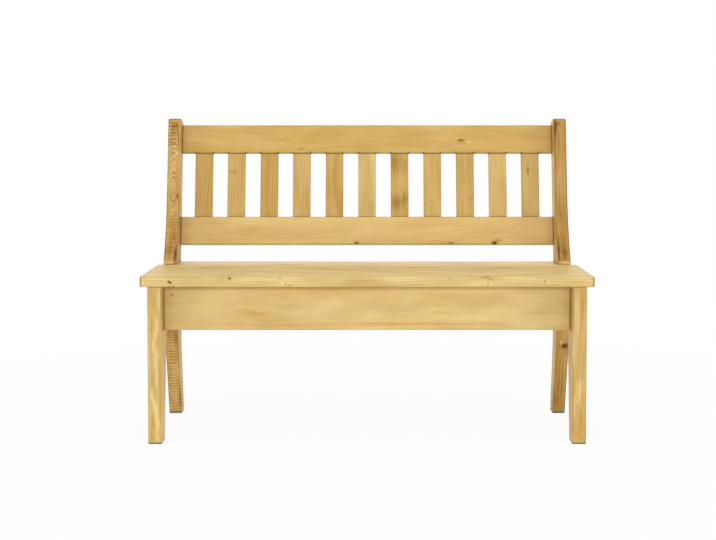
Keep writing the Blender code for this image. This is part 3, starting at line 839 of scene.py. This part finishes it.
crest_pine = pine(
    "pine_crest", (1.0, 0.004, 0.006), crest_mid + Vector((0.0, 0.180, 0.090)), honey=0.88, rings=430.0,
    contrast=0.22, slide=2.1, streak=0.9, seams=crest_joint_shade, **figure(
        rail_face(crest_mid), knots=[(276.9, 802, 3, 8.5, 0.9), (-194.3, 776, 2, 7, 0.4)],
        flames=[(300, 797, 6, 16, 0.5)]))
lower_pine = pine(
    "pine_lower", (1.0, -0.004, 0.003), lower_mid + Vector((0.0, 0.170, -0.090)), honey=0.46, rings=430.0,
    contrast=0.16, slide=5.2, streak=0.8, seams=rail_joint_shade, **figure(
        rail_face(lower_mid),
        knots=[(371.9, 502, 5, 8, 1.0), (-30.4, 502, 3.5, 5.5, 0.8), (244.9, 502, 2, 8, 0.6)],
        stains=[(385, 510, 7, 16, 0.8), (-450, 560, 10, 60, 0.25)]))
dress("crest_rail", crest_pine)
dress("lower_back_rail", lower_pine)

# %% [markdown]
# The seat is three boards, glued edge to edge. Boards in a glued panel are turned heart side up and down in
# turn, so that the panel stays flat, and here the pith lies above and below in the same way. It lies close,
# so the rings are cut flat and show as broad brown figures along the seat. The front board has the small
# knots of the front edge, which run in at a slant, so that they show on the edge and just above it.

# %% Seat
END_ARRIS = 0.0022
END_SEAM = 0.0042
KNOT_SLANT = (0.0, -1.0, 0.25)
seat_end = seat_high.x - END_ARRIS
# grey lines of painted shade along the seat's two end edges
seat_end_shade = seams((ALONG, -seat_end, END_SEAM), (ALONG, seat_end, END_SEAM))


def seat_edge(x, z):
    return (x, seat_low.y, z), KNOT_SLANT


def seat_top(x, y):
    return (x, leg_front + y, seat_high.z), UP


front_marks = figure(seat_edge, knots=[
    (-522.6, 436.4, 2.4, 3, 0.9), (-518.7, 433.2, 2.8, 3.2, 1.0), (-521.6, 423.7, 1.8, 2.4, 0.6),
    (-511.6, 424.2, 1.8, 2.4, 0.6), (-361.9, 445.5, 2.8, 3.2, 1.0), (-230.7, 445.1, 1.5, 6, 0.35),
    (-215, 429.8, 2, 2.6, 0.45), (-202.6, 426.6, 2, 3.4, 0.4), (218.3, 445.6, 1.8, 4, 0.35),
    (313.1, 449, 2.6, 13, 0.45), (326.3, 442.5, 1.8, 6, 0.4), (318.5, 433.2, 7, 1.4, 0.3),
    (469.1, 436.5, 5, 1.6, 0.35),
], flames=[
    (-517.7, 427.9, 4, 6, 0.9), (-222.9, 429.2, 5, 11, 0.7), (312.5, 432.2, 8, 4.5, 0.6),
    (326, 432.2, 8, 5.5, 0.6), (475.8, 430.6, 8, 5, 0.6),
])
seat_streaks = marks(seat_top, [
    (-454.6, 230, 22, 50, 0.9), (-395.7, 235, 18, 40, 0.6), (-218.3, 315, 20, 80, 0.7),
    (-300, 100, 12, 160, 0.5), (-120, 60, 10, 200, 0.5), (-60, 190, 16, 150, 0.5),
    (134.3, 230, 18, 90, 0.7), (20, 120, 12, 130, 0.5), (306.8, 105, 14, 60, 0.7),
    (371.4, 220, 18, 80, 0.7), (480, 70, 10, 80, 0.5), (260, 340, 16, 180, 0.5),
])
seat_trunks = [(-0.045, 300.0, 0.35), (0.050, 170.0, 0.65), (-0.060, 170.0, 0.65)]
for number, (height, rings, contrast) in enumerate(seat_trunks, 1):
    node = f"seat_board_{number}"
    board_pine = pine(
        f"pine_seat_{number}", (1.0, 0.012, 0.004), middle(node) + Vector((0.0, 0.02, height)), honey=0.30,
        rings=rings, contrast=contrast, slide=1.7 * number, wander=0.030, edge=0.10, cloud=1.4,
        cells=(34.0, 34.0, 5.0), seams=seat_end_shade, seam_tint=GREY_TINT, stains=seat_streaks,
        **(front_marks if number == 1 else {}))
    dress(node, board_pine)

# %% [markdown]
# The aprons and side rails tie the legs together under the seat. The front apron is the broadest upright
# board, and its wood is the calmest, with slow clouds of honey colour and an amber band along its lower
# edge. The seat overhangs it, so its top edge is painted darker as the seat's shadow, and its two ends get
# painted light against the shade of the legs.

# %% Aprons and side rails
SEAT_SHADE = 0.020
SIDE_PITH = 0.08
SIDE_SLIDE = 60


def apron_face(x, z):
    return (x, apron_low.y, z), FRONTAL


apron_pine = pine(
    "pine_apron", (1.0, 0.003, 0.004), middle("front_apron") + Vector((0.0, 0.140, -0.100)), honey=0.23,
    rings=290.0, contrast=0.15, slide=4.4, cloud=0.95, cells=(24.0, 24.0, 8.0), streak=0.8,
    fine=(220.0, 220.0, 4.0), stain_tint=AMBER_TINT,
    # dark lines at the legs, partly painted shade, and the seat's shadow painted along the top edge
    seams=seams((ALONG, -inner_x, LEG_SEAM), (ALONG, inner_x, LEG_SEAM), (UP, seat_low.z, SEAT_SHADE)),
    **figure(apron_face, knots=[(-523.3, 393.6, 2.2, 3, 0.7)], flames=[
        # the two broad flames at the ends are painted light
        (-500, 370, 90, 140, 0.25), (490, 370, 90, 170, 0.4),
    ], stains=[
        (-330, 352, 13, 45, 0.9), (-295, 340, 13, 45, 1.0), (200.2, 346.4, 7, 40, 0.6),
        (472.1, 345.1, 8, 90, 0.7), (-220, 312.7, 11, 340, 1.0), (160, 315, 9, 270, 0.8),
        (-100, 408, 16, 200, 0.6),
    ]))
dress("front_apron", apron_pine)
rear_pine = pine("pine_rear_apron", ALONG, middle("rear_apron") + Vector((0.0, -0.09, 0.02)), slide=9.1)
dress("rear_apron", rear_pine)
for side in ("left", "right"):
    node = "side_rail_" + side
    outward = math.copysign(SIDE_PITH, middle(node).x)
    pith = middle(node) + Vector((outward, 0.0, 0.01))
    dress(node, pine(node + "_pine", DEEP, pith, slide=outward * SIDE_SLIDE))

# %% [markdown]
# Blocks, cleats and battens are the hidden joinery. They come from the same timber with only a thin coat of
# wax, so they are paler and show their saw-cut ends.

# %% Joinery under the seat
PITH_ASIDE = Vector((0.05, 0.03, 0.04))
sides = ("left", "right")
joinery = {f"corner_block_{end}_{side}": UP for end in ("front", "rear") for side in sides}
joinery.update({f"seat_{kind}_{side}": DEEP for kind in ("cleat", "batten") for side in sides})
for count, (node, grain) in enumerate(joinery.items()):
    pith = middle(node) + PITH_ASIDE
    block_pine = pine("pine_" + node, grain, pith, honey=0.15, contrast=0.35, slide=count * 2.3, edge=0.1)
    dress(node, block_pine)

# %% [markdown]
# Slats and screws come many times over, which is what Geometry Nodes are for. Terms serve here as they do in
# a shader, since a geometry tree takes the same Math nodes. Each tree ends with real copies, and its result
# is kept as a plain mesh.

# %% Trees of copies
def new_tree(name, inputs):
    """An empty geometry tree, and its named inputs as terms."""
    tree = bpy.data.node_groups.new(name, "GeometryNodeTree")
    for label, kind in inputs.items():
        tree.interface.new_socket(label, in_out="INPUT", socket_type="NodeSocket" + kind)
    tree.interface.new_socket("Geometry", in_out="OUTPUT", socket_type="NodeSocketGeometry")
    given = tree.nodes.new("NodeGroupInput").outputs
    return tree, [Term(tree, given[label]) for label in inputs]


def close_tree(tree, shape, material):
    """The tree's end: real copies, with their material."""
    shape = shape.node("GeometryNodeRealizeInstances", {}, {"Geometry": shape})
    shape = shape.node("GeometryNodeSetMaterial", {}, {"Geometry": shape, "Material": material})
    feed(tree.nodes.new("NodeGroupOutput"), "Geometry", shape)
    return tree


def grow(name, tree, sizes, base=None):
    """Run a tree with its sizes and return the result as a plain mesh."""
    source = put(name + "_source", base or bpy.data.meshes.new(name))
    modifier = source.modifiers.new(name, "NODES")
    modifier.node_group = tree
    for item in tree.interface.items_tree:
        if item.in_out == "INPUT" and item.name in sizes:
            modifier[item.identifier] = sizes[item.name]
    bpy.context.view_layer.update()
    solid = source.evaluated_get(bpy.context.evaluated_depsgraph_get())
    mesh = bpy.data.meshes.new_from_object(solid)
    mesh.name = name
    source.modifiers.remove(modifier)
    bpy.data.objects.remove(source)
    print(name, len(mesh.vertices), "vertices,", len(mesh.polygons), "faces")
    return mesh


# %% [markdown]
# Eleven slats fill the back, all alike and evenly spaced. The tree draws one slat as a rounded rectangle
# swept up a line, puts a copy on each point of a row, and turns the copies to the back's lean. A little
# random play sets each slat as a hand would leave it in its housing.

# %% Slats by nodes
ARRIS_POINTS = 4
PLAY_SEED = 4


def slat_tree(material):
    """Rounded slats in a row along X, leaning back."""
    tree, (count, pitch, width, thick, tall, arris, lean, play, centre) = new_tree("back_slats", {
        "Count": "Int", "Pitch": "Float", "Width": "Float", "Thickness": "Float", "Length": "Float",
        "Arris": "Float", "Lean": "Float", "Play": "Float", "Middle": "Vector",
    })
    first_x = (count - 1) * -0.5 * pitch
    row = count.node("GeometryNodeMeshLine", {"mode": "OFFSET"}, {
        "Count": count, "Start Location": vector("ADD", centre, as_vector(count, first_x)),
        "Offset": as_vector(count, pitch),
    })
    random_play = {2: play * -1, 3: play, "Seed": PLAY_SEED}
    slack = play.node("FunctionNodeRandomValue", {"data_type": "FLOAT"}, random_play, 1)
    row = row.node("GeometryNodeSetPosition", {}, {"Geometry": row, "Offset": as_vector(row, slack)})
    outline = width.node("GeometryNodeCurvePrimitiveQuadrilateral", {"mode": "RECTANGLE"}, {
        "Width": width, "Height": thick,
    })
    outline = outline.node("GeometryNodeFilletCurve", {"mode": "POLY"}, {
        "Curve": outline, "Count": ARRIS_POINTS, "Radius": arris,
    })
    half = tall * 0.5
    spine = half.node("GeometryNodeCurvePrimitiveLine", {"mode": "POINTS"}, {
        "Start": as_vector(half, z=half * -1), "End": as_vector(half, z=half),
    })
    slat = spine.node("GeometryNodeCurveToMesh", {}, {
        "Curve": spine, "Profile Curve": outline, "Fill Caps": True,
    })
    slats = row.node("GeometryNodeInstanceOnPoints", {}, {
        "Points": row, "Instance": slat, "Rotation": as_vector(lean, lean * -1),
    })
    return close_tree(tree, slats, material)


# %% [markdown]
# The slats share one material, but no two slats come from the same stick. The shader works out which slat a
# point is on from its place along the bench. A ramp with hard steps gives that slat its depth of colour,
# and random numbers move it to its own part of the tree.

# %% Slats
SLAT_ARRIS = 0.002
SLAT_PLAY = 0.0004
SLAT_FOOT_SEAM = 0.004
SLAT_DEPTHS = (0.85, 0.75, 1.02, 0.75, 0.76, 0.40, 0.85, 0.75, 0.85, 0.56, 0.75)
slat_rise = slat_high.z - slat_low.z
slat_run = slat_high.y - slat_low.y
lean_cos = math.cos(BACK_LEAN)
lean_sin = math.sin(BACK_LEAN)
slat_length = (slat_rise * lean_cos - slat_run * lean_sin) / (lean_cos ** 2 - lean_sin ** 2)
slat_thick = (slat_run - slat_length * lean_sin) / lean_cos
print("slat", rounded([slat_width, slat_thick, slat_length, slat_pitch]))


def slat_face(x, z):
    return (x, slat_low.y + (z - slat_low.z) * math.tan(BACK_LEAN), z), BACK_NORMAL


slat_pine = pine(
    "pine_slats", LEAN_UP, middle("back_slat_06") + Vector((0.01, 0.09, 0.0)), contrast=0.30, wander=0.03,
    row=(slat_pitch, SLAT_DEPTHS), tone=0.92, streak=1.8,
    # dark lines where the slats enter the rails, partly wax and partly painted shade
    seams=seams((LEAN_UP, lower_top, SLAT_FOOT_SEAM), (LEAN_UP, crest_under, RAIL_SEAM)),
    **figure(slat_face, knots=[
        (-391, 709.8, 4.8, 3.6, 0.4), (-402.6, 712.7, 4.5, 1.6, 0.45), (474.1, 714.6, 3.5, 12, 0.5),
    ], stains=[
        (79, 737.4, 30, 55, 0.75), (88, 622.5, 40, 34, 0.75), (117, 635.1, 16, 30, 0.7),
        (115, 730, 8, 40, 0.5), (308, 636.9, 4, 14, 0.9), (305, 690, 4, 30, 0.5),
        (-112, 660, 10, 90, 0.35),
    ]))
slat_sizes = {
    "Count": len(slat_nodes),
    "Pitch": slat_pitch,
    "Width": slat_width,
    "Thickness": slat_thick,
    "Length": slat_length,
    "Arris": SLAT_ARRIS,
    "Lean": BACK_LEAN,
    "Play": SLAT_PLAY,
    "Middle": middle("back_slat_06"),
}
slat_mesh = grow("back_slats", slat_tree(slat_pine), slat_sizes)
soften(slat_mesh)
add_piece("back_slats", slat_mesh, slat_pine, slat_nodes)

# %% [markdown]
# Twenty-two zinc-plated screws hold the blocks, cleats and battens. They are alike but for their length and
# direction, so one tree makes them all. It stands a countersunk head with a cross recess on each point, and
# a shank stretched to that screw's length. The points and their directions are read from the frame's own
# screws.

# %% Screws by nodes
HEAD_SIDES = 32
SHANK_SIDES = 16
RECESS_SPAN = 1.15
TIP_RADIUS = 0.0004
TIP_SHARE = 0.20
SHANK_SHARE = 0.76


def screw_tree(material):
    """Countersunk screws, one for each point, along the point's direction."""
    tree, (points, head_radius, head_depth, shank_radius, recess) = new_tree("wood_screws", {
        "Geometry": "Geometry", "Head Radius": "Float", "Head Depth": "Float", "Shank Radius": "Float",
        "Recess": "Float",
    })

    def cone(sides, top, bottom, tall, low, settings):
        """A cone that stands on a height."""
        sockets = {"Vertices": sides, "Radius Top": top, "Radius Bottom": bottom, "Depth": tall}
        solid = points.node("GeometryNodeMeshCone", settings, sockets)
        place = as_vector(points, z=low)
        return points.node("GeometryNodeTransform", {}, {"Geometry": solid, "Translation": place})

    head = cone(HEAD_SIDES, head_radius, shank_radius, head_depth, head_depth * -1, {"fill_type": "NGON"})
    arm = head_radius * RECESS_SPAN
    deep = recess * 2
    slots = [as_vector(points, *size) for size in ((arm, recess, deep), (recess, arm, deep))]
    slots = [size.node("GeometryNodeMeshCube", {}, {"Size": size}) for size in slots]
    difference = {"operation": "DIFFERENCE"}
    head = head.node("GeometryNodeMeshBoolean", difference, {"Mesh 1": head, "Mesh 2": slots}, "Mesh")
    shank = cone(SHANK_SIDES, shank_radius, shank_radius, SHANK_SHARE, TIP_SHARE - 1, {})
    tip = cone(SHANK_SIDES, shank_radius, TIP_RADIUS, TIP_SHARE, -1.0, {})
    shank = shank.node("GeometryNodeJoinGeometry", {}, {"Geometry": [shank, tip]})
    axis = points.node("GeometryNodeInputNamedAttribute", {"data_type": "FLOAT_VECTOR"}, {"Name": "axis"})
    size = points.node("GeometryNodeInputNamedAttribute", {"data_type": "FLOAT"}, {"Name": "size"})
    turn = axis.node("FunctionNodeAlignRotationToVector", {"axis": "Z"}, {"Vector": axis})
    halves = []
    for solid, scale in ((head, (1.0, 1.0, 1.0)), (shank, as_vector(size, 1.0, 1.0, size))):
        halves.append(points.node("GeometryNodeInstanceOnPoints", {}, {
            "Points": points, "Instance": solid, "Rotation": turn, "Scale": scale,
        }))
    screws = points.node("GeometryNodeJoinGeometry", {}, {"Geometry": halves})
    return close_tree(tree, screws, material)


# %% [markdown]
# Zinc plating is a dull blue-grey metal. Its brightness hardly varies, but handling leaves some patches
# rougher than others, so the noise goes into the roughness as well as the colour.

# %% Screws
ZINC = linear(190, 192, 194)
WORN_ZINC = linear(160, 162, 166)
ZINC_CELLS = (400.0, 400.0, 400.0)
ZINC_ROUGHNESS = 0.25


def zinc(name):
    material, shader, place = bare_material(name)
    shader.inputs["Metallic"].default_value = 1.0
    handling = noise(place, ZINC_CELLS, 3.0)
    feed(shader, "Base Color", tint(handling, ZINC, WORN_ZINC))
    feed(shader, "Roughness", ZINC_ROUGHNESS + handling * ZINC_ROUGHNESS)
    return material


def screw_line(node):
    """The centre of a screw's head, the way that the head faces, and the screw's length."""
    low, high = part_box(node)
    size = high - low
    along = max(range(3), key=lambda i: size[i])
    out = [vertex.co - middle(node) for vertex in solids[node].data.vertices]
    widest = max(out, key=lambda step: step.length_squared - step[along] ** 2)
    axis = Vector()
    axis[along] = math.copysign(1.0, widest[along])
    return middle(node) + axis * size[along] / 2, axis, size[along]


screw_nodes = [name for name in solids if "_screw_" in name]
heads, axes, lengths = zip(*[screw_line(name) for name in screw_nodes])
screw_points = bpy.data.meshes.new("screw_points")
screw_points.from_pydata(heads, [], [])
axis_steps = [step for axis in axes for step in axis]
screw_points.attributes.new("axis", "FLOAT_VECTOR", "POINT").data.foreach_set("vector", axis_steps)
screw_points.attributes.new("size", "FLOAT", "POINT").data.foreach_set("value", lengths)
screw_sizes = {"Head Radius": 0.0040, "Head Depth": 0.0025, "Shank Radius": 0.0020, "Recess": 0.0011}
screw_zinc = zinc("zinc")
screw_mesh = grow("wood_screws", screw_tree(screw_zinc), screw_sizes, screw_points)
soften(screw_mesh)
add_piece("wood_screws", screw_mesh, screw_zinc, screw_nodes)

# %% [markdown]
# A pack shot is lit from all round, so that no side falls dark. A white world gives the even light. Two
# boxes in front and one above give the shapes, low ones at the front and the sides reach the legs, one
# behind lights the back, and a weak strip under the seat keeps the rear legs clear. The camera sees the
# world as pure white.

# %% Light
AMBIENT = 0.53
WHITE = (1.0, 1.0, 1.0, 1.0)
LAMPS = {  # where each box stands, what it faces, its width and height, and its watts
    "left_box": ((-2.2, -3.8, 1.1), (0.0, 0.0, 0.40), 1.8, 1.2, 12.5),
    "right_box": ((2.2, -3.8, 1.1), (0.0, 0.0, 0.40), 1.8, 1.2, 12.5),
    "low_box": ((0.0, -1.6, 0.04), (0.0, 0.1, 0.30), 3.4, 0.4, 4.2),
    "left_side": ((-3.2, -1.0, 0.25), (0.0, 0.0, 0.20), 1.8, 0.5, 32.0),
    "right_side": ((3.2, -1.0, 0.25), (0.0, 0.0, 0.20), 1.8, 0.5, 38.0),
    "top_box": ((0.0, -0.8, 3.4), (0.0, 0.0, 0.4), 3.0, 1.6, 42.0),
    "back_box": ((0.0, 3.6, 1.8), (0.0, 0.0, 0.40), 2.4, 1.2, 16.0),
    "under_strip": ((0.0, -0.13, 0.30), (0.0, 0.25, 0.10), 1.0, 0.06, 0.48),
}


def light_path(tree):
    """1 for rays that come straight from the camera, a reflection or glass."""
    rays = tree.nodes.new("ShaderNodeLightPath").outputs
    seen = Term(tree, rays["Is Camera Ray"])
    for name in ("Is Glossy Ray", "Is Transmission Ray"):
        seen = larger(seen, Term(tree, rays[name]))
    return seen


world = bpy.data.worlds.new("studio")
bpy.context.scene.world = world
world.use_nodes = True
background = world.node_tree.nodes["Background"]
background.inputs["Color"].default_value = WHITE
feed(background, "Strength", light_path(world.node_tree) * (1.0 - AMBIENT) + AMBIENT)
for name, (place, aim, width, height, watts) in LAMPS.items():
    lamp = bpy.data.lights.new(name, "AREA")
    lamp.shape = "RECTANGLE"
    lamp.size = width
    lamp.size_y = height
    lamp.energy = watts
    holder = put(name, lamp)
    holder.location = place
    holder.rotation_euler = (Vector(aim) - Vector(place)).to_track_quat("-Z", "Y").to_euler()
    holder.visible_camera = False
print("lamps:", list(LAMPS))

# %% [markdown]
# The floor is a plain disc. Its own diffuse white takes the bench's shadow and throws some light back up.
# For rays that the camera sees, it is mixed with plain white, so that only a faint shadow stays near the
# bench, and none at the rim, where no horizon shows.

# %% Floor
FLOOR_RADIUS = 6.0
FLOOR_SIDES = 96
SHADOW_SHARE = 0.06
SHADOW_EDGE = (0.9, 2.2)
PAPER = (0.86, 0.86, 0.85, 1.0)
floor_mesh = bpy.data.meshes.new("floor")
bm = bmesh.new()
bmesh.ops.create_circle(bm, cap_ends=True, segments=FLOOR_SIDES, radius=FLOOR_RADIUS)
bm.to_mesh(floor_mesh)
bm.free()
floor = put("floor", floor_mesh)
paper = bpy.data.materials.new("floor_paper")
paper.use_nodes = True
tree = paper.node_tree
tree.nodes.clear()
spot = Term(tree, tree.nodes.new("ShaderNodeTexCoord").outputs["Object"])
share = light_path(tree) * (1 - fall(length(spot), *SHADOW_EDGE) * SHADOW_SHARE)
matt = spot.node("ShaderNodeBsdfDiffuse", {}, {"Color": PAPER})
white = spot.node("ShaderNodeEmission", {}, {"Color": WHITE, "Strength": 1.0})
surface = spot.node("ShaderNodeMixShader", {}, {0: share, 1: matt, 2: white})
feed(tree.nodes.new("ShaderNodeOutputMaterial"), "Surface", surface)
floor_mesh.materials.append(paper)
bpy.context.scene.view_settings.view_transform = "Standard"
print("floor of", FLOOR_RADIUS, "m radius")
